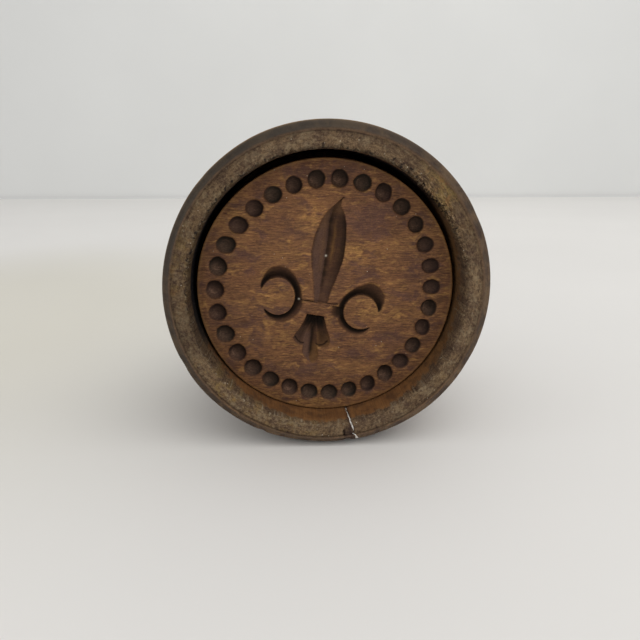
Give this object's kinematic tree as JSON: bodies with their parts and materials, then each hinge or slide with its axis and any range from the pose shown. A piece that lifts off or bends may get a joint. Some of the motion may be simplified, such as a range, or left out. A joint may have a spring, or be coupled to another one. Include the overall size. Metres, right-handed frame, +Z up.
{
  "type": "butter mold",
  "caption": "Turned wooden cup butter mold lying on its side: a round case, a sliding carved print disc with a fleur-de-lis and dimpled border, and a turned push handle.",
  "frame": {"origin": "middle of the bounding box's bottom face: under the middle of the mold's length, on the surface that it lies on", "axes": "+Y along the case from the mouth to the knob, +Z up, with the mold lying on its side, +X to the right as seen from the mouth"},
  "size_m": [0.1158, 0.146, 0.1159],
  "materials": {
    "case_wood": "aged bare wood, worn matt grey-brown end grain on the rim, smoother dark brown outside",
    "print_wood": "aged reddish brown wood, carved, satin from handling and butter fat",
    "handle_wood": "aged brown turned wood, polished by the hand"
  },
  "bodies": {
    "case": {"case": "case_wood"},
    "handle": {"handle": "handle_wood"},
    "print": {"print": "print_wood"}
  },
  "joints": [
    {"name": "plunger_slide", "type": "slide", "parent": "case", "child": "handle", "axis": [0, -1, 0], "range_m": [-0.055, 0.0187]},
    {"name": "print_turn", "type": "hinge", "parent": "handle", "child": "print", "pos_m": [0, -0.0603, 0.05674], "axis": [0, -1, 0], "continuous": true}
  ]
}
